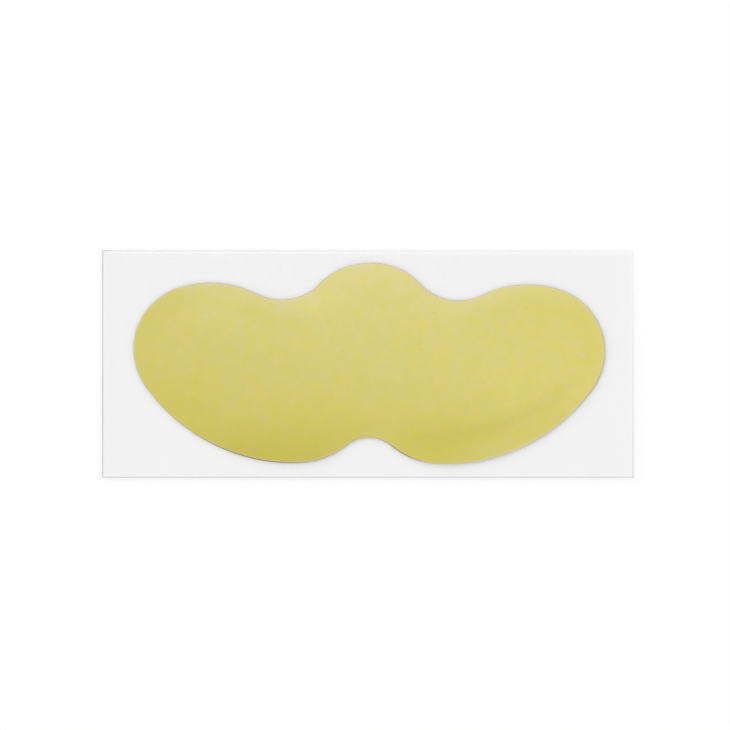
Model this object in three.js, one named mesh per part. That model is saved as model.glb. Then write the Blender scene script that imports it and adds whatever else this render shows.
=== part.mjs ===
// Nose strip on its release film, in millimetres, lying flat as it is supplied.
// +X runs to the right, +Y towards the bridge of the nose, and +Z up from the table.
// The origin is the centre of the film's underside.
import * as THREE from "three";
import { toCreasedNormals } from "three/addons/utils/BufferGeometryUtils.js";

// Outline of the strip, which is alike on both sides of its centre line
const stripSpan = 70.85; // tip of one wing to tip of the other
const stripHeight = 30.05; // line under the heels to the top of the crown
const crownRadius = 10.45; // round lobe that lies over the bridge
const valleyRadius = 8.3; // hollow between the crown and a wing
const browRadius = 15.55; // upper edge of a wing
const browTurn = 72.5; // degrees above level at which the brow runs into the tip
const tipRadius = 9.7; // outer end of a wing
const tipHeight = 16.95; // centre of the tip above the line under the heels
const flankRadius = 27.2; // long lower edge of a wing
const heelRadius = 12.15; // lower lobe beside the notch
const notchRadius = 5.3; // notch between the heels
const notchDepth = 3.85; // line under the heels to the top of the notch

// Layers, from the table up
const filmThickness = 0.12;
const gelThickness = 0.18;
const clothThickness = 0.3; // over the flat middle of the cloth
const clothEdgeThickness = 0.16; // left at the cut edge, where the die squeezes the cloth
const clothMargin = 4.6; // band along the edge over which the cloth thins

// Film left bare beside the strip, and how far the strip was laid out of square
const leftMargin = 4.75;
const rightMargin = 4.4;
const topMargin = 1.95;
const bottomMargin = 2.25;
const stripTurn = -0.32; // degrees about +Z

// Fineness of the facets
const arcStep = 3; // degrees between points on every arc
const marginSteps = 5; // rings across the cloth's margin
const creaseAngle = 30; // degrees between faces from which an edge looks sharp

const radians = THREE.MathUtils.degToRad;

// Where two circles cross, to the left (side 1) or the right (side -1) of the line between their centres
function crossing(first, firstRadius, second, secondRadius, side) {
  const apart = first.distanceTo(second);
  const along = (firstRadius ** 2 - secondRadius ** 2 + apart ** 2) / (2 * apart);
  const across = Math.sqrt(firstRadius ** 2 - along ** 2);
  const line = second.clone().sub(first).divideScalar(apart);
  const normal = new THREE.Vector2(-line.y, line.x);
  return first.clone().addScaledVector(line, along).addScaledVector(normal, side * across);
}

function direction(from, to) {
  return Math.atan2(to.y - from.y, to.x - from.x);
}

// Centres of the arcs, each placed so that it meets its neighbours in a smooth tangent.
// y is measured here from the line under the heels, and x from the centre line.
const crown = new THREE.Vector2(0, stripHeight - crownRadius);
const tip = new THREE.Vector2(stripSpan / 2 - tipRadius, tipHeight);
const brow = tip.clone().addScaledVector(
  new THREE.Vector2(Math.cos(radians(browTurn)), Math.sin(radians(browTurn))),
  tipRadius - browRadius,
);
const valley = crossing(crown, crownRadius + valleyRadius, brow, browRadius + valleyRadius, 1);
const notch = new THREE.Vector2(0, notchDepth - notchRadius);
const heelSpread = Math.sqrt((heelRadius + notchRadius) ** 2 - (heelRadius - notch.y) ** 2);
const heel = new THREE.Vector2(heelSpread, heelRadius);
const flank = crossing(tip, flankRadius - tipRadius, heel, flankRadius - heelRadius, -1);

// A lobe bulges out of the strip, so its arc shrinks as the outline is drawn further in
function lobe(centre, radius, from, to) {
  return { centre, radius, from, to, growth: -1 };
}

// A hollow cuts into the strip, so its arc grows
function hollow(centre, radius, from, to) {
  return { centre, radius, from, to, growth: 1 };
}

// The right half of the outline, from the top of the crown round to the top of the notch
const straightUp = Math.PI / 2;
const arcs = [
  lobe(crown, crownRadius, straightUp, direction(crown, valley)),
  hollow(valley, valleyRadius, direction(valley, crown), direction(valley, brow)),
  lobe(brow, browRadius, direction(brow, valley), radians(browTurn)),
  lobe(tip, tipRadius, radians(browTurn), direction(flank, tip)),
  lobe(flank, flankRadius, direction(flank, tip), direction(flank, heel)),
  lobe(heel, heelRadius, direction(flank, heel), direction(heel, notch)),
  hollow(notch, notchRadius, direction(notch, heel), straightUp),
];

// Points along one arc without its last point, drawn inside the cut edge by the inset
function arcPoints(arc, inset) {
  const radius = arc.radius + arc.growth * inset;
  const steps = Math.ceil(Math.abs(arc.to - arc.from) / radians(arcStep));
  return Array.from({ length: steps }, (_, step) => {
    const angle = THREE.MathUtils.lerp(arc.from, arc.to, step / steps);
    return new THREE.Vector2(Math.cos(angle), Math.sin(angle)).multiplyScalar(radius).add(arc.centre);
  });
}

// The whole outline, counterclockwise from above, about the middle of the strip.
// Every inset gives the same number of points, so that rings at different insets join one to one.
function stripOutline(inset) {
  const notchTop = new THREE.Vector2(0, notchDepth + inset);
  const right = arcs.flatMap((arc) => arcPoints(arc, inset)).concat(notchTop);
  const left = right.slice(1, -1).map((point) => new THREE.Vector2(-point.x, point.y));
  const middle = new THREE.Vector2(0, stripHeight / 2);
  return [...right.toReversed(), ...left].map((point) => point.clone().sub(middle));
}

// A closed solid through a stack of rings, each an outline at its own inset and height
function loft(rings) {
  const outlines = rings.map((ring) => stripOutline(ring.inset));
  const count = outlines[0].length;
  const positions = outlines.flatMap((outline, level) =>
    outline.flatMap((point) => [point.x, point.y, rings[level].height]),
  );
  const faces = [];
  for (let level = 0; level < rings.length - 1; level += 1) {
    for (let corner = 0; corner < count; corner += 1) {
      const next = (corner + 1) % count;
      const low = level * count;
      const high = low + count;
      faces.push(low + corner, low + next, high + next);
      faces.push(low + corner, high + next, high + corner);
    }
  }
  const top = (rings.length - 1) * count;
  for (const [a, b, c] of THREE.ShapeUtils.triangulateShape(outlines[0], [])) {
    faces.push(a, c, b);
  }
  for (const [a, b, c] of THREE.ShapeUtils.triangulateShape(outlines.at(-1), [])) {
    faces.push(top + a, top + b, top + c);
  }
  const geometry = new THREE.BufferGeometry();
  geometry.setAttribute("position", new THREE.Float32BufferAttribute(positions, 3));
  geometry.setIndex(faces);
  return toCreasedNormals(geometry, radians(creaseAngle));
}

// The clear sheet that carries the strip, cut to a plain rectangle
function releaseFilm() {
  const length = leftMargin + stripSpan + rightMargin;
  const width = bottomMargin + stripHeight + topMargin;
  const sheet = new THREE.BoxGeometry(length, width, filmThickness);
  sheet.translate(0, 0, filmThickness / 2);
  const clear = new THREE.MeshStandardMaterial({
    color: 0xf1f1f1,
    roughness: 0.15,
    metalness: 0,
    transparent: true,
    opacity: 0.35,
  });
  const film = new THREE.Mesh(sheet, clear);
  film.name = "release_film";
  return film;
}

// The dried adhesive under the cloth, cut with it in one stroke, so that its walls are straight
function adhesiveGel() {
  const coat = loft([
    { inset: 0, height: 0 },
    { inset: 0, height: gelThickness },
  ]);
  const amber = new THREE.MeshStandardMaterial({ color: 0xb3a35a, roughness: 0.3, metalness: 0 });
  const gel = new THREE.Mesh(coat, amber);
  gel.name = "adhesive_gel";
  return gel;
}

// The cloth face: full thickness over the middle, easing down across the margin to the squeezed edge
function clothStrip() {
  const rings = [{ inset: 0, height: 0 }];
  for (let step = 0; step <= marginSteps; step += 1) {
    const inward = step / marginSteps;
    const height = THREE.MathUtils.lerp(
      clothEdgeThickness,
      clothThickness,
      THREE.MathUtils.smoothstep(inward, 0, 1),
    );
    rings.push({ inset: inward * clothMargin, height });
  }
  const yellow = new THREE.MeshStandardMaterial({ color: 0xd7cc77, roughness: 0.7, metalness: 0 });
  const cloth = new THREE.Mesh(loft(rings), yellow);
  cloth.name = "cloth_strip";
  return cloth;
}

// The strip lies where the margins put it: between the film's sides, a little out of square
const strip = new THREE.Group();
strip.position.set((leftMargin - rightMargin) / 2, (bottomMargin - topMargin) / 2, filmThickness);
strip.rotation.z = radians(stripTurn);

const cloth = clothStrip();
cloth.position.z = gelThickness;
strip.add(adhesiveGel(), cloth);

const noseStrip = new THREE.Group();
noseStrip.add(releaseFilm(), strip);

export default noseStrip;
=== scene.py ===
# A nose strip on its clear release film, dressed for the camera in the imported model's own frame.
# Everything is in metres: +X to the right, +Y towards the crown, +Z up from the table.
# Sizes are written as millimetres times MM, turns and bearings in degrees, counterclockwise from +X,
# and noise scales per metre.
import math

import bpy
import numpy as np
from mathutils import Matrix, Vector, noise
from mathutils.geometry import delaunay_2d_cdt


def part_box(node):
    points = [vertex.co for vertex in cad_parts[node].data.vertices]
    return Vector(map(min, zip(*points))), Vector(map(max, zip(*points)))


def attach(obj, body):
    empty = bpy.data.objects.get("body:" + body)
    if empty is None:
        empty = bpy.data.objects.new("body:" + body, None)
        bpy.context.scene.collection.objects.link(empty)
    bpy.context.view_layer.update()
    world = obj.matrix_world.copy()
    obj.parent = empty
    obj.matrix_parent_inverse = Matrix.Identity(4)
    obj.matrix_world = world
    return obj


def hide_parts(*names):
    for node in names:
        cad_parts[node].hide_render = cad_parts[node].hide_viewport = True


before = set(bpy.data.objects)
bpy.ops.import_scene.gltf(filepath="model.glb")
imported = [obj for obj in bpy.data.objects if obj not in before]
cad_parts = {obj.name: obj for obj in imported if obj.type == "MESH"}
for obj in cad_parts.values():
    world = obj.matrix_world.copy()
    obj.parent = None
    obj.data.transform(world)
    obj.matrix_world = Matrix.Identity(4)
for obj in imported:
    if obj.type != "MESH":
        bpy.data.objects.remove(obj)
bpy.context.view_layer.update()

MM = 0.001


# The release film: clear polyester sheet, 0.12 mm thick, siliconed on top and guillotined square.
# It lies flat under the strip, and its sides stand up a hair, the lower and right ones most. Those
# two are cut a hair short. The blade leaves a rounded upper rim. A grey, denser line along the cut
# edge is painted shade, for the light that the clear edge bends away, darkest on the left and lower
# sides, and the haze is thinned along the left and top rims as painted light.

FILM_SPACING = 1.6 * MM
FILM_RIM_WIDTH = 0.05 * MM
FILM_RIM_DROP = 0.03 * MM
# Turn between faces from which an edge is left sharp
FILM_CREASE = 40
FILM_TRIM_LOWER = 0.09 * MM
FILM_TRIM_RIGHT = 0.16 * MM
# How high each side stands, and how far in from it the film starts to rise
FILM_LIFTS = {
    "left": (0.15 * MM, 2.5 * MM),
    "lower": (0.34 * MM, 6.0 * MM),
    "right": (0.45 * MM, 6.0 * MM),
    "top": (0.10 * MM, 1.8 * MM),
}
# How strongly each side's cut edge is painted grey and dense as painted shade, at its lower or left end
# and at its other end
CUT_EDGE_SHADE = {"left": (0.95, 0.85), "lower": (0.72, 0.62), "right": (0.45, 0.05), "top": (0.32, 0.16)}
CUT_SHADE_WIDTH = 0.10 * MM
CUT_SHADE_GREYING = 3.0
# Sides whose rims are painted lighter by lacking haze, as painted light, how far in that reaches and ends,
# and the share of the haze they lack
LIT_RIM_SIDES = ("left", "top")
LIT_RIM_TO = 0.40 * MM
LIT_RIM_END = 0.70 * MM
LIT_RIM_SHARE = 0.6
# Opacity seen straight on, and what the flattest glance adds
FILM_BODY = 0.103
FILM_GLANCE = 0.5
GLANCE_POWER = 4.0
# Colours of the haze and of the painted shade along the cut edge, and the smears that make the gloss uneven
FILM_HAZE = (0.80, 0.80, 0.805, 1)
CUT_SHADE_GREY = (0.26, 0.26, 0.265, 1)
FILM_ROUGHNESS = (0.08, 0.14)
SMEAR_SCALE = 160.0
FILM_IOR = 1.5

# Shares of a rim's width at which its rows of points run, and the gap below which two points are one
RIM_ROWS = (0.0, 0.12, 0.35, 0.65, 1.0)
SAME_POINT = 1e-9
INSIDE_ONLY = 1

film_low, film_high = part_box("release_film")
film_low.y += FILM_TRIM_LOWER
film_high.x -= FILM_TRIM_RIGHT


def film_gaps(x, y):
    """How far a point lies from each side of the film."""
    return {
        "left": x - film_low.x,
        "lower": y - film_low.y,
        "right": film_high.x - x,
        "top": film_high.y - y,
    }


def nearest_side(x, y):
    """The side of the film that a point lies nearest to."""
    gaps = film_gaps(x, y)
    return min(gaps, key=gaps.get)


def film_rise(x, y):
    """How far the film stands off the table at a point: only near its sides, which curl up a hair."""
    rise = 0.0
    for side, gap in film_gaps(x, y).items():
        lift, reach = FILM_LIFTS[side]
        rise = max(rise, lift * max(0.0, 1 - gap / reach) ** 2)
    return rise


def rolled_edge(from_edge, width, drop):
    """How far a rounded rim lies below the face: the whole drop at the cut edge, and none past the width."""
    out = max(0.0, 1 - from_edge / width)
    return drop * (1 - math.sqrt(1 - out * out))


def film_underside(x, y, from_edge):
    """The height of the film's lower face."""
    return film_low.z + film_rise(x, y)


def film_face(x, y, from_edge):
    """The height of the film's upper face."""
    return film_high.z + film_rise(x, y) - rolled_edge(from_edge, FILM_RIM_WIDTH, FILM_RIM_DROP)


def side_points(start, end, spacing):
    """Evenly spaced points from start towards end, without the end."""
    steps = math.ceil((end - start).length / spacing)
    return [tuple(start.lerp(end, k / steps)) for k in range(steps)]


def inset_ring(ring, inset):
    """A closed ring of (x, y) points, counterclockwise, moved inwards by the inset with mitred corners."""
    before = ring - np.roll(ring, 1, axis=0)
    after = np.roll(ring, -1, axis=0) - ring
    inward = []
    for edge in (before, after):
        unit = edge / np.linalg.norm(edge, axis=1)[:, None]
        inward.append(np.stack([-unit[:, 1], unit[:, 0]], axis=1))
    middle = inward[0] + inward[1]
    mitre = 2 * middle / (middle ** 2).sum(axis=1)[:, None]
    return ring + mitre * np.reshape(inset, (-1, 1))


def distance_inside(points, ring):
    """Each point's distance to the nearest side of the ring."""
    side = np.roll(ring, -1, axis=0) - ring
    gap = points[:, None, :] - ring[None, :, :]
    along = np.clip((gap * side).sum(axis=2) / (side ** 2).sum(axis=1), 0, 1)
    return np.linalg.norm(gap - along[:, :, None] * side, axis=2).min(axis=1)


def lattice(ring, spacing, clear):
    """Points of a triangular lattice inside the ring, at least the clear distance from its sides."""
    low = ring.min(axis=0)
    high = ring.max(axis=0)
    row_step = spacing * math.sqrt(3) / 2
    points = []
    for index, y in enumerate(np.arange(low[1] + row_step / 2, high[1], row_step)):
        xs = np.arange(low[0] + spacing / 2 * (index % 2), high[0], spacing)
        points.append(np.stack([xs, np.full(len(xs), y)], axis=1))
    points = np.concatenate(points)
    crossings = np.zeros(len(points), int)
    for (x0, y0), (x1, y1) in zip(ring, np.roll(ring, -1, axis=0)):
        if y0 == y1:
            continue
        straddles = (points[:, 1] < y0) != (points[:, 1] < y1)
        cut_x = x0 + (points[:, 1] - y0) * (x1 - x0) / (y1 - y0)
        crossings += straddles & (points[:, 0] < cut_x)
    points = points[crossings % 2 == 1]
    return points[distance_inside(points, ring) > clear]


def cut_sheet(name, ring, spacing, rim_width, upper, lower):
    """A closed sheet cut to the ring, with fine rows of points across its rim. The height of each face
    is upper or lower at (x, y, distance from the cut edge)."""
    insets = [rim_width * share for share in RIM_ROWS]
    rings = [inset_ring(ring, inset) for inset in (*insets, rim_width + spacing / 2)]
    flat = np.concatenate([*rings, lattice(ring, spacing, rim_width + spacing)])
    count = len(ring)
    loop = [(k, (k + 1) % count) for k in range(count)]
    mesh_flat, _, faces, origin, _, _ = delaunay_2d_cdt(
        [Vector(p) for p in flat], loop, [list(range(count))], INSIDE_ONLY, SAME_POINT
    )
    place = np.array([tuple(p) for p in mesh_flat])
    source = [o[0] if o else -1 for o in origin]
    depth = distance_inside(place, ring)
    top = [(x, y, upper(x, y, d)) for (x, y), d in zip(place, depth)]
    under = [(x, y, lower(x, y, d)) for (x, y), d in zip(place, depth)]
    shift = len(top)
    top_faces = [tuple(f) for f in faces]
    under_faces = [tuple(k + shift for k in reversed(f)) for f in faces]
    sides = [k for k, o in enumerate(source) if 0 <= o < count]
    sides.sort(key=lambda k: source[k])
    walls = [(a + shift, b + shift, b, a) for a, b in zip(sides, sides[1:] + sides[:1])]
    solid = bpy.data.meshes.new(name)
    solid.from_pydata(top + under, [], top_faces + under_faces + walls)
    edge = solid.attributes.new("from_edge", "FLOAT", "POINT")
    edge.data.foreach_set("value", np.concatenate([depth, depth]).astype(np.float32))
    solid.validate()
    piece = bpy.data.objects.new(name, solid)
    bpy.context.scene.collection.objects.link(piece)
    return piece


def smooth_faces(piece, crease):
    """Smooth shading, with the edges left sharp where faces meet at more than the crease."""
    piece.data.polygons.foreach_set("use_smooth", [True] * len(piece.data.polygons))
    piece.data.set_sharp_from_angle(angle=math.radians(crease))


def store(piece, measures):
    """Keeps each named measure, taken at (x, y, distance from the cut edge), with the piece's points."""
    for name, measure in measures.items():
        edge_of = piece.data.attributes["from_edge"].data
        values = [measure(v.co.x, v.co.y, edge_of[v.index].value) for v in piece.data.vertices]
        piece.data.attributes.new(name, "FLOAT", "POINT").data.foreach_set("value", values)


def cut_edge_shade(x, y, from_edge):
    """How much painted shade the nearest side's cut edge gets at this place along it."""
    side = nearest_side(x, y)
    if side in ("lower", "top"):
        share = (x - film_low.x) / (film_high.x - film_low.x)
    else:
        share = (y - film_low.y) / (film_high.y - film_low.y)
    start, end = CUT_EDGE_SHADE[side]
    return start + (end - start) * share


def lit_rim(x, y, from_edge):
    """1 along the sides whose rims are painted lighter as painted light, and 0 along the others."""
    return 1.0 if nearest_side(x, y) in LIT_RIM_SIDES else 0.0


film_corners = [
    Vector((film_low.x, film_low.y)),
    Vector((film_high.x, film_low.y)),
    Vector((film_high.x, film_high.y)),
    Vector((film_low.x, film_high.y)),
]
film_ring = np.array(
    [
        point
        for start, end in zip(film_corners, film_corners[1:] + film_corners[:1])
        for point in side_points(start, end, FILM_SPACING)
    ]
)
film = cut_sheet("film_sheet", film_ring, FILM_SPACING, FILM_RIM_WIDTH, film_face, film_underside)
smooth_faces(film, FILM_CREASE)
store(film, {"cut_edge_shade": cut_edge_shade, "lit_rim": lit_rim})


def node_adder(owner):
    """Clears the nodes of a material or a world, and gives a function that adds one with its inputs."""
    owner.use_nodes = True
    tree = owner.node_tree
    tree.nodes.clear()

    def add(kind, inputs=(), **settings):
        node = tree.nodes.new(kind)
        for setting, value in settings.items():
            setattr(node, setting, value)
        for socket, value in dict(inputs).items():
            if isinstance(value, bpy.types.NodeSocket):
                tree.links.new(value, node.inputs[socket])
            else:
                node.inputs[socket].default_value = value
        return node

    return add


def sheet_material(name):
    """A new node material, and the function that adds its nodes."""
    material = bpy.data.materials.new(name)
    return material, node_adder(material)


def stored(add, name):
    """The measure of this name that is kept with the piece's points."""
    return add("ShaderNodeAttribute", attribute_name=name).outputs["Fac"]


def reckon(add, operation, first, second, clamp=False):
    """The result of one operation on two values."""
    return add("ShaderNodeMath", {0: first, 1: second}, operation=operation, use_clamp=clamp).outputs[0]


def ramp(add, value, start, end, low, high, clamp=True):
    """Runs evenly from low, where the value is at the start, to high, where it is at the end."""
    inputs = {"Value": value, "From Min": start, "From Max": end, "To Min": low, "To Max": high}
    return add("ShaderNodeMapRange", inputs, clamp=clamp).outputs[0]


def blend(add, share, first, second, **settings):
    """The colour at this share of the way from the first to the second."""
    inputs = {"Factor": share, "A": first, "B": second}
    return add("ShaderNodeMix", inputs, data_type="RGBA", **settings).outputs["Result"]


# What a noise value mostly keeps between
NOISE_LOW = 0.3
NOISE_HIGH = 0.7


def clear_polyester():
    """Clear sheet with a faint white haze, less of it along the left and top rims as painted light, glossier
    at a glance, and a painted grey shade along the cut edge, which is denser there too."""
    material, add = sheet_material("clear_polyester")
    depth = stored(add, "from_edge")
    # Painted light: the haze is thinned along the left and top rims.
    lit_rim_haze = ramp(add, depth, LIT_RIM_TO, LIT_RIM_END, LIT_RIM_SHARE * FILM_BODY, 0.0)
    haze_lacking = reckon(add, "MULTIPLY", lit_rim_haze, stored(add, "lit_rim"))
    body = reckon(add, "SUBTRACT", FILM_BODY, haze_lacking)
    facing = add("ShaderNodeLayerWeight", {"Blend": 0.5}).outputs["Facing"]
    steep = reckon(add, "POWER", facing, GLANCE_POWER)
    glance = reckon(add, "MULTIPLY", steep, FILM_GLANCE)
    clear = reckon(add, "ADD", body, glance)
    # Painted shade: the cut edge is drawn as a grey, denser line.
    near_cut = ramp(add, depth, 0.0, CUT_SHADE_WIDTH, 1.0, 0.0)
    cut_shade = reckon(add, "MULTIPLY", near_cut, stored(add, "cut_edge_shade"))
    whole = reckon(add, "ADD", clear, cut_shade, clamp=True)
    shade_grey_share = reckon(add, "MULTIPLY", cut_shade, CUT_SHADE_GREYING, clamp=True)
    spot = add("ShaderNodeTexCoord").outputs["Object"]
    smears = add("ShaderNodeTexNoise", {"Vector": spot, "Scale": SMEAR_SCALE, "Detail": 2.0}).outputs["Fac"]
    plastic = add(
        "ShaderNodeBsdfPrincipled",
        {
            "Base Color": blend(add, shade_grey_share, FILM_HAZE, CUT_SHADE_GREY),
            "Roughness": ramp(add, smears, NOISE_LOW, NOISE_HIGH, *FILM_ROUGHNESS),
            "IOR": FILM_IOR,
            "Alpha": whole,
        },
    )
    add("ShaderNodeOutputMaterial", {"Surface": plastic.outputs[0]})
    return material


film.data.materials.append(clear_polyester())
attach(film, "root")
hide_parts("release_film")


# The adhesive gel: a water-soluble coat, cast on the cloth, dried to a stiff amber-green skin 0.18 mm
# thick and die-cut with it. It grips the film by tack alone: the lower right margin has let go and
# stands a little proud, and the cut edge has crept by a tenth of a millimetre or so in places.

RING_SPACING = 0.4 * MM
GEL_SPACING = 0.9 * MM
GEL_RIM_WIDTH = 0.05 * MM
GEL_CREASE = 40
# The margin that has let go: its bearing from the strip's middle, and the spread to each side of it
LET_GO_BEARING = -27
LET_GO_SPREAD = 26
LET_GO_HEIGHT = 0.03 * MM
LET_GO_REACH = 4.2 * MM
LET_GO_CURL = 1.5
# Stretches of the edge, each as its bearing, its spread and how far it has crept outwards
CREEP = [
    (68, 34, 0.165 * MM),
    (112, 20, 0.085 * MM),
    (30, 14, 0.08 * MM),
    (148, 20, 0.07 * MM),
    (172, 14, 0.07 * MM),
    (-66, 12, 0.06 * MM),
    (-42, 10, 0.04 * MM),
    (-138, 14, 0.04 * MM),
]
GEL_DARK = (0.12, 0.105, 0.045, 1)
GEL_LIGHT = (0.18, 0.16, 0.07, 1)
GEL_ROUGHNESS = 0.32
GEL_IOR = 1.45
STREAK_SCALE = 900.0

# How far a layer's underside may stray from flat, and the decimals that tell its points apart
FLAT_WITHIN = 0.01 * MM
POINT_DECIMALS = 7

gel_low, gel_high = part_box("adhesive_gel")
strip_middle = (gel_low + gel_high) / 2


def cut_outline(node):
    """The die-cut outline of a CAD layer, from the vertices of its flat underside. Every ray from the
    strip's middle crosses the outline once, so sorting by bearing puts the points in order."""
    low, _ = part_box(node)
    found = {
        (round(v.co.x, POINT_DECIMALS), round(v.co.y, POINT_DECIMALS))
        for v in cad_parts[node].data.vertices
        if v.co.z - low.z < FLAT_WITHIN
    }
    return np.array(sorted(found, key=lambda p: math.atan2(p[1] - strip_middle.y, p[0] - strip_middle.x)))


def smooth_ring(corners, spacing):
    """The ring redrawn as one smooth curve through its corners, with points about the spacing apart."""
    side = np.roll(corners, -1, axis=0) - corners
    length = np.linalg.norm(side, axis=1)[:, None]
    heading = side / length
    heading_before = np.roll(heading, 1, axis=0)
    length_before = np.roll(length, 1, axis=0)
    tangent = (heading_before * length + heading * length_before) / (length + length_before)
    tangent /= np.linalg.norm(tangent, axis=1)[:, None]
    points = []
    for k in range(len(corners)):
        end = (k + 1) % len(corners)
        steps = max(1, round(length[k, 0] / spacing))
        for step in range(steps):
            t = step / steps
            points.append(
                corners[k] * (1 - t) ** 2 * (1 + 2 * t)
                + corners[end] * t ** 2 * (3 - 2 * t)
                + (tangent[k] * t * (1 - t) ** 2 - tangent[end] * t ** 2 * (1 - t)) * length[k]
            )
    return np.array(points)


def ease(share):
    """A share from 0 to 1, with a soft start and a soft end."""
    share = min(1.0, max(0.0, share))
    return share * share * (3 - 2 * share)


def near_bearing(x, y, bearing, spread):
    """1 towards the bearing as seen from the strip's middle, easing to 0 over the spread."""
    away = math.degrees(math.atan2(y - strip_middle.y, x - strip_middle.x)) - bearing
    return ease(1 - abs((away + 180) % 360 - 180) / spread)


def around(x, y, stretches):
    """The sum of what each stretch of the edge, given as (bearing, spread, how much), adds at a point."""
    return sum(size * near_bearing(x, y, at, spread) for at, spread, size in stretches)


def crept_ring(node):
    """The outline of a CAD layer as a smooth ring, moved outwards where the edge has crept."""
    ring = smooth_ring(cut_outline(node), RING_SPACING)
    return inset_ring(ring, [-around(x, y, CREEP) for x, y in ring])


def let_go(x, y, from_edge):
    """How far the strip stands off the film where its lower right margin has let go."""
    near = near_bearing(x, y, LET_GO_BEARING, LET_GO_SPREAD)
    return LET_GO_HEIGHT * near * max(0.0, 1 - from_edge / LET_GO_REACH) ** LET_GO_CURL


def gel_underside(x, y, from_edge):
    """The height of the gel's lower face, which follows the film except where it has let go."""
    return gel_low.z + film_rise(x, y) + let_go(x, y, from_edge)


def gel_face(x, y, from_edge):
    """The height of the gel's upper face, on which the cloth lies."""
    return gel_underside(x, y, from_edge) + gel_high.z - gel_low.z


gel = cut_sheet("gel_coat", crept_ring("adhesive_gel"), GEL_SPACING, GEL_RIM_WIDTH, gel_face, gel_underside)
smooth_faces(gel, GEL_CREASE)


def dried_gel():
    """Amber-green skin, glossy on its cut edge, with faint streaks from casting."""
    material, add = sheet_material("dried_gel")
    spot = add("ShaderNodeTexCoord").outputs["Object"]
    streaks = add("ShaderNodeTexNoise", {"Vector": spot, "Scale": STREAK_SCALE, "Detail": 3.0}).outputs["Fac"]
    skin = add(
        "ShaderNodeBsdfPrincipled",
        {
            "Base Color": blend(add, streaks, GEL_DARK, GEL_LIGHT),
            "Roughness": GEL_ROUGHNESS,
            "IOR": GEL_IOR,
        },
    )
    add("ShaderNodeOutputMaterial", {"Surface": skin.outputs[0]})
    return material


gel.data.materials.append(dried_gel())
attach(gel, "root")
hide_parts("adhesive_gel")


# The cloth face: a fine viscose nonwoven, soaked through with the yellow gel, so that it dries
# smooth and satin. The wet coat ran together above the heels and is thinnest along the crown, and
# its paling towards the crown is also a painted sheen. Light and shade are painted over the web:
# lighter towards the crown and the right, darkest over the heels, with a painted shade line along
# the step of the right flank. The die squeezes the edge and frays it, which bares a ledge of gel in
# places and covers it in others.

CLOTH_SPACING = 0.42 * MM
CLOTH_RIM_WIDTH = 0.10 * MM
CLOTH_RIM_DROP = 0.08 * MM
CLOTH_CREASE = 50
# Thickness left in the band along the cut edge, how far in the step up from it runs, everywhere and
# more in stretches, and half the breadth of that step
CLOTH_EDGE = 0.18 * MM
BAND_NARROW = 1.8 * MM
BAND_WIDE = [(-32, 50, 2.8 * MM), (-148, 42, 2.2 * MM), (90, 120, 2.4 * MM)]
BAND_HALF = 1.3 * MM
# Sines of the bearings above which the step is softest, and below which it is clearest
STEP_SOFT_ABOVE = 0.75
STEP_CLEAR_BELOW = -0.35
# The cockles, whose height and length these are, lie closer together up the strip than along it
COCKLE = 0.03 * MM
COCKLE_LENGTH = 7.0 * MM
COCKLE_SQUASH = 1.6
# How far the cloth's edge stands back from the gel's, everywhere and in stretches
LEDGE = 0.02 * MM
LEDGES = [
    (-142, 30, 0.08 * MM),
    (-70, 12, 0.08 * MM),
    (-6, 10, 0.02 * MM),
    (-36, 34, -0.06 * MM),
    (-92, 12, -0.04 * MM),
]

# How deep the coat lies, from 0 for pale to 1 for full yellow: in the middle, what is added towards the
# crown, which is partly a painted sheen paling the top, towards the right tip and at both tips, and in soft
# spots, each as its place, its reach along and up the strip, and how much it adds
COAT_MIDDLE = 0.34
COAT_AND_SHEEN_UP = -0.26
COAT_RIGHT = -0.05
COAT_TIPS = 0.14
COAT_POOLS = [
    (-14.5 * MM, -14.0 * MM, 15 * MM, 5 * MM, 0.29),
    (-5.0 * MM, -8.5 * MM, 9 * MM, 3.5 * MM, 0.13),
    (11.0 * MM, -12.0 * MM, 9 * MM, 4 * MM, 0.24),
    (24.0 * MM, 7.0 * MM, 8 * MM, 4 * MM, 0.15),
    (-28.5 * MM, -6.0 * MM, 5 * MM, 4 * MM, 0.14),
    (-22.0 * MM, 9.0 * MM, 4 * MM, 3 * MM, -0.12),
    (32.0 * MM, -3.0 * MM, 3 * MM, 4 * MM, -0.08),
]
# Stretches where the coat thins towards the edge, and where it gathered inside the edge of the tips
THIN_EDGES = [(90, 50, 0.38), (146, 26, 0.50), (33, 22, 0.35), (-34, 18, 0.30), (-84, 20, 0.20)]
THIN_REACH = 4.0 * MM
FULL_TIPS = [(160, 24, 0.20), (12, 26, 0.14)]
FULL_REACH = 5.0 * MM
FULL_FADE = 3.0 * MM

# Painted light and shade on the web, given in the same way: lighter towards the crown and the right,
# lighter and darker soft spots with the heels darkest, a painted shade line along the step of the right
# flank, and painted shade over the pools of the tips
SHADING_MIDDLE = 1.006
SHADING_UP = 0.06
SHADING_RIGHT = 0.042
SHADING_POOLS = [
    (-15.5 * MM, -14.5 * MM, 16 * MM, 4 * MM, -0.080),
    (12.0 * MM, -13.5 * MM, 8 * MM, 3 * MM, -0.020),
    (23.0 * MM, -2.5 * MM, 6 * MM, 4 * MM, 0.028),
    (25.0 * MM, 8.0 * MM, 8 * MM, 4 * MM, -0.028),
    (-21.5 * MM, 9.0 * MM, 5 * MM, 3 * MM, 0.030),
    (32.0 * MM, -3.0 * MM, 3 * MM, 4 * MM, 0.025),
    (-8.0 * MM, 10.5 * MM, 4 * MM, 4 * MM, 0.035),
]
STEP_SHADE_LINE = [(-32, 40, 0.045)]
STEP_SHADE_WIDTH = 1.5 * MM
TIP_SHADE = 0.1

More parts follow.
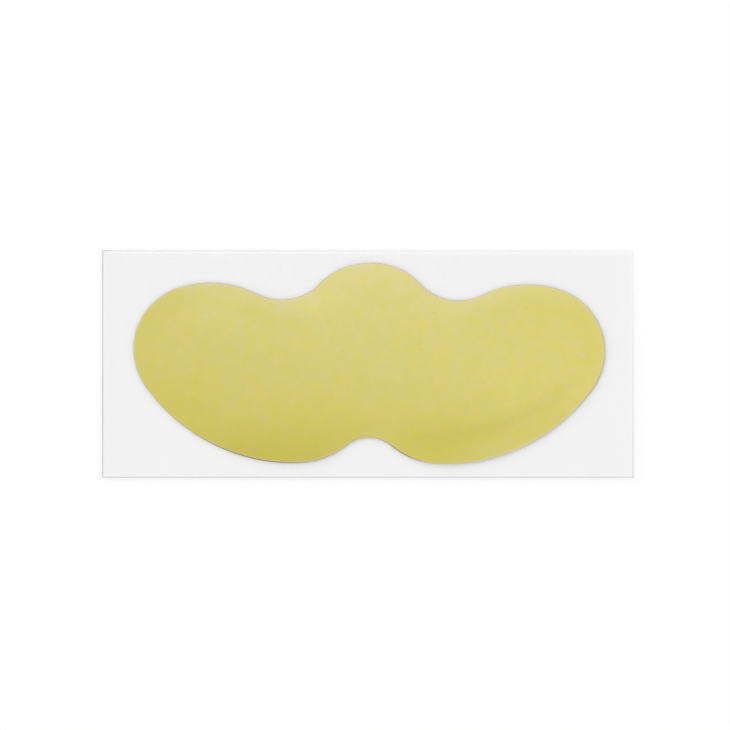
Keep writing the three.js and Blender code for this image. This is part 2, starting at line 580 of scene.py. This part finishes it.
# How much pale loose fibre shows at the cut edge, everywhere and in stretches
FRAYED_ALL = 0.20
FRAYED = [(-32, 30, 0.28), (-122, 20, 0.12), (-92, 22, -0.20)]
FRAYED_FULL = 0.06 * MM
FRAYED_END = 0.34 * MM

CLOTH_PALE = (0.639, 0.571, 0.203, 1)
CLOTH_DEEP = (0.606, 0.526, 0.064, 1)
FIBRE_PALE = (0.68, 0.65, 0.47, 1)
FLECK_DARK = (0.36, 0.33, 0.08, 1)
CLOTH_ROUGHNESS = (0.46, 0.56)
CLOTH_IOR = 1.45
SHEEN = 0.15
SHEEN_ROUGHNESS = 0.45
# The clouds of hue, as what the red, green and blue are multiplied by
DRIFT_SCALE = 560.0
DRIFT_PLACE = 3.7
RED_DRIFT = (0.968, 1.032)
GREEN_DRIFT = (0.995, 1.005)
CLOUD_SCALE = 650.0
BLUE_CLOUDS = (0.79, 1.21)
# The fibres: how stretched they lie along their way, how close, and how much they shade the web
WEB_STRETCH = (0.16, 1.0, 1.0)
WEB_SCALE = 6500.0
WEB_SHADE = (0.985, 1.015)
FLECK_STRETCH = (0.34, 1.0, 1.0)
FLECK_SCALE = 3000.0
FLECK_FROM = 0.70
FLECK_FULL = 0.80
FLECK_STRENGTH = 0.18
FIBRE_TURNS = (20, -28)
FIBRE_STRETCH = (0.10, 1.0, 1.0)
FIBRE_SCALE = 11000.0
RELIEF_STRENGTH = 0.7
RELIEF_DEPTH = 0.03 * MM

cloth_low, cloth_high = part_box("cloth_strip")
half_span = (cloth_high.x - cloth_low.x) / 2
half_height = (cloth_high.y - cloth_low.y) / 2


def step_clearness(x, y):
    """1 along the heels and flanks, easing through the tips to 0 along the brows and the crown."""
    height = math.sin(math.atan2(y - strip_middle.y, x - strip_middle.x))
    return ease((STEP_SOFT_ABOVE - height) / (STEP_SOFT_ABOVE - STEP_CLEAR_BELOW))


def band_middle(x, y):
    """How far inside the edge the step of the band runs."""
    return BAND_NARROW + around(x, y, BAND_WIDE)


def ledge(x, y):
    """How far the cloth's cut edge stands back from the gel's at a point."""
    return LEDGE + around(x, y, LEDGES)


def cloth_face(x, y, from_edge):
    """The height of the cloth's upper face: full thickness over the middle, a step down to the band,
    shallow cockles from drying, and a rim rolled under by the die."""
    middle = band_middle(x, y)
    foot = (middle - BAND_HALF) * step_clearness(x, y)
    step = ease((from_edge - foot) / (middle + BAND_HALF - foot))
    cockle = COCKLE * noise.noise(Vector((x, y * COCKLE_SQUASH, 0.0)) / COCKLE_LENGTH)
    full = cloth_high.z - cloth_low.z
    height = CLOTH_EDGE + (full - CLOTH_EDGE) * step + cockle * step
    return gel_face(x, y, from_edge) + height - rolled_edge(from_edge, CLOTH_RIM_WIDTH, CLOTH_RIM_DROP)


def place_on_strip(x, y):
    """A point's place along and up the strip, from -1 to 1 each."""
    return (x - strip_middle.x) / half_span, (y - strip_middle.y) / half_height


def pooled(x, y, spots):
    """The sum of what each soft spot, given as (x, y, reach along x, reach along y, how much), adds."""
    return sum(
        size * math.exp(-(((x - at_x) / reach_x) ** 2) - ((y - at_y) / reach_y) ** 2)
        for at_x, at_y, reach_x, reach_y, size in spots
    )


def tip_pools(x, y, from_edge):
    """How much deeper the coat lies where it gathered inside the edge of the two tips."""
    return around(x, y, FULL_TIPS) * ease((FULL_REACH - from_edge) / FULL_FADE)


def coat_depth_and_sheen(x, y, from_edge):
    """How deep the dried coat lies, with a painted sheen that pales it towards the crown."""
    along, up = place_on_strip(x, y)
    # Paler towards the crown: thinner coat, and a painted sheen.
    depth = COAT_MIDDLE + COAT_AND_SHEEN_UP * up + COAT_RIGHT * along + COAT_TIPS * along ** 2
    depth += pooled(x, y, COAT_POOLS) + tip_pools(x, y, from_edge)
    return depth - around(x, y, THIN_EDGES) * ease(1 - from_edge / THIN_REACH)


def web_painted_shading(x, y, from_edge):
    """The painted light and shade on the web."""
    along, up = place_on_strip(x, y)
    # Painted light and shade: lighter towards the crown and the right, with lighter and darker soft spots.
    painted_shading = SHADING_MIDDLE + SHADING_UP * up + SHADING_RIGHT * along + pooled(x, y, SHADING_POOLS)
    # A painted shade line along the step, and painted shade over the pools of the tips.
    on_line = math.exp(-(((from_edge - band_middle(x, y)) / STEP_SHADE_WIDTH) ** 2))
    return painted_shading - around(x, y, STEP_SHADE_LINE) * on_line - TIP_SHADE * tip_pools(x, y, from_edge)


def fraying(x, y, from_edge):
    """How much of the colour at the cut edge comes from pale loosened fibres."""
    return FRAYED_ALL + around(x, y, FRAYED)


full_ring = crept_ring("cloth_strip")
cloth_ring = inset_ring(full_ring, [ledge(x, y) for x, y in full_ring])
cloth = cut_sheet("cloth_face", cloth_ring, CLOTH_SPACING, CLOTH_RIM_WIDTH, cloth_face, gel_face)
smooth_faces(cloth, CLOTH_CREASE)
store(cloth, {"coat_and_sheen": coat_depth_and_sheen, "painted_shading": web_painted_shading, "frayed": fraying})


def satin_nonwoven():
    """Yellow nonwoven, coloured by the depth of its coat with a painted sheen, and by painted light and
    shade, with soft hue clouds, fine fibres mostly along the web, a few dark fibre ends, and paler fibres
    at the cut edge."""
    material, add = sheet_material("satin_nonwoven")
    spot = add("ShaderNodeTexCoord").outputs["Object"]

    def multiplied(colour, factor):
        """The colour times a factor colour."""
        return blend(add, 1.0, colour, factor, blend_type="MULTIPLY")

    def spread(value, low, high):
        """A noise value spread over low to high, and past them where it strays."""
        return ramp(add, value, NOISE_LOW, NOISE_HIGH, low, high, clamp=False)

    def stretched_noise(stretch, scale, detail, roughness=0.5, turn=0):
        """Noise drawn out along the way that the turn gives."""
        turned = {"Vector": spot, "Rotation": (0, 0, math.radians(turn)), "Scale": stretch}
        way = add("ShaderNodeMapping", turned).outputs[0]
        inputs = {"Vector": way, "Scale": scale, "Detail": detail, "Roughness": roughness}
        return add("ShaderNodeTexNoise", inputs).outputs["Fac"]

    # The coat's depth also carries the painted sheen.
    coat_and_sheen_colour = blend(add, stored(add, "coat_and_sheen"), CLOTH_PALE, CLOTH_DEEP, clamp_factor=False)
    # Painted light and shade multiply the coat's colour.
    lit = multiplied(coat_and_sheen_colour, stored(add, "painted_shading"))

    drift = add(
        "ShaderNodeTexNoise",
        {"Vector": spot, "Scale": DRIFT_SCALE, "Detail": 3.0, "W": DRIFT_PLACE},
        noise_dimensions="4D",
    ).outputs["Fac"]
    clouds = add(
        "ShaderNodeTexNoise",
        {"Vector": spot, "Scale": CLOUD_SCALE, "Detail": 3.0, "Roughness": 0.7},
    ).outputs["Fac"]
    hue = add(
        "ShaderNodeCombineColor",
        {
            "Red": spread(drift, *RED_DRIFT),
            "Green": spread(drift, *GREEN_DRIFT),
            "Blue": spread(clouds, *BLUE_CLOUDS),
        },
    ).outputs[0]
    clouded = multiplied(lit, hue)

    at_cut = ramp(add, stored(add, "from_edge"), FRAYED_FULL, FRAYED_END, 1.0, 0.0)
    pale = reckon(add, "MULTIPLY", at_cut, stored(add, "frayed"))
    frayed = blend(add, pale, clouded, FIBRE_PALE)
    ends = stretched_noise(FLECK_STRETCH, FLECK_SCALE, detail=1.0)
    fleck = ramp(add, ends, FLECK_FROM, FLECK_FULL, 0.0, FLECK_STRENGTH)
    flecked = blend(add, fleck, frayed, FLECK_DARK)
    web = stretched_noise(WEB_STRETCH, WEB_SCALE, detail=4.0, roughness=0.65)
    shaded = add("ShaderNodeHueSaturation", {"Color": flecked, "Value": spread(web, *WEB_SHADE)}).outputs[0]

    crossed = reckon(
        add,
        "MAXIMUM",
        *[stretched_noise(FIBRE_STRETCH, FIBRE_SCALE, detail=2.0, turn=turn) for turn in FIBRE_TURNS],
    )
    relief = add(
        "ShaderNodeBump",
        {
            "Height": reckon(add, "ADD", crossed, web),
            "Strength": RELIEF_STRENGTH,
            "Distance": RELIEF_DEPTH,
        },
    )
    satin = add(
        "ShaderNodeBsdfPrincipled",
        {
            "Base Color": shaded,
            "Roughness": spread(clouds, *CLOTH_ROUGHNESS),
            "IOR": CLOTH_IOR,
            "Sheen Weight": SHEEN,
            "Sheen Roughness": SHEEN_ROUGHNESS,
            "Normal": relief.outputs[0],
        },
    )
    add("ShaderNodeOutputMaterial", {"Surface": satin.outputs[0]})
    return material


cloth.data.materials.append(satin_nonwoven())
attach(cloth, "root")
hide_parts("cloth_strip")


# The table: a plain matt white top, which shows pure white in the open and keeps the soft shadow
# that the film and the strip cast on it. Its face lies a hair below the film's.

TABLE_SIZE = 6.0
TABLE_GAP = 0.02 * MM
TABLE_LIFT = 0.257
TABLE_WHITE = (0.70, 0.70, 0.70, 1)
TABLE_ROUGHNESS = 0.9

bpy.ops.mesh.primitive_plane_add(size=TABLE_SIZE, location=(0, 0, -TABLE_GAP))
table = bpy.context.object
table.name = "table"


def seen_directly(add):
    """1 for what the camera sees, also by reflection or through glass, and 0 for light on its way."""
    path = add("ShaderNodeLightPath").outputs
    seen = reckon(add, "MAXIMUM", path["Is Camera Ray"], path["Is Glossy Ray"])
    return reckon(add, "MAXIMUM", seen, path["Is Transmission Ray"])


def white_table():
    """Matt white that adds a little light of its own to what the camera sees."""
    material, add = sheet_material("white_table")
    matt = add(
        "ShaderNodeBsdfPrincipled",
        {
            "Base Color": TABLE_WHITE,
            "Roughness": TABLE_ROUGHNESS,
            "Specular IOR Level": 0.0,
            "Emission Color": (1, 1, 1, 1),
            "Emission Strength": reckon(add, "MULTIPLY", seen_directly(add), TABLE_LIFT),
        },
    )
    add("ShaderNodeOutputMaterial", {"Surface": matt.outputs[0]})
    return material


table.data.materials.append(white_table())


# The light: a broad window beyond the crown, to the left, over an even white room.

WINDOW_BEARING = 135
WINDOW_HEIGHT = 38
WINDOW_BREADTH = 70
WINDOW_STRENGTH = 0.80
ROOM_LIGHT = 0.909

window_light = bpy.data.lights.new("window", "SUN")
window_light.angle = math.radians(WINDOW_BREADTH)
window_light.energy = WINDOW_STRENGTH
window = bpy.data.objects.new("window", window_light)
bpy.context.scene.collection.objects.link(window)
bearing = math.radians(WINDOW_BEARING)
height = math.radians(WINDOW_HEIGHT)
level = math.cos(height)
window_way = Vector((math.cos(bearing) * level, math.sin(bearing) * level, math.sin(height)))
window.rotation_euler = (-window_way).to_track_quat("-Z", "Y").to_euler()

room = bpy.data.worlds.new("white_room")
bpy.context.scene.world = room
add_room = node_adder(room)
shown = ramp(add_room, seen_directly(add_room), 0.0, 1.0, ROOM_LIGHT, 1.0)
even = add_room("ShaderNodeBackground", {"Color": (1, 1, 1, 1), "Strength": shown})
add_room("ShaderNodeOutputWorld", {"Surface": even.outputs[0]})


# The camera looks straight down from half a metre, with the frame as wide as the photograph's.

FRAME_WIDTH = 109.88 * MM
CAMERA_HEIGHT = 0.50
# In plain millimetres, as the camera takes it
SENSOR_WIDTH = 36.0
LOOK_AT = Vector((-0.489 * MM, -0.113 * MM, 0.0))

camera_data = bpy.data.cameras.new("camera")
camera_data.sensor_width = SENSOR_WIDTH
camera_data.lens = SENSOR_WIDTH * CAMERA_HEIGHT / FRAME_WIDTH
camera = bpy.data.objects.new("camera", camera_data)
bpy.context.scene.collection.objects.link(camera)
camera.location = LOOK_AT + Vector((0, 0, CAMERA_HEIGHT))
bpy.context.scene.camera = camera
bpy.context.scene.view_settings.view_transform = "Standard"
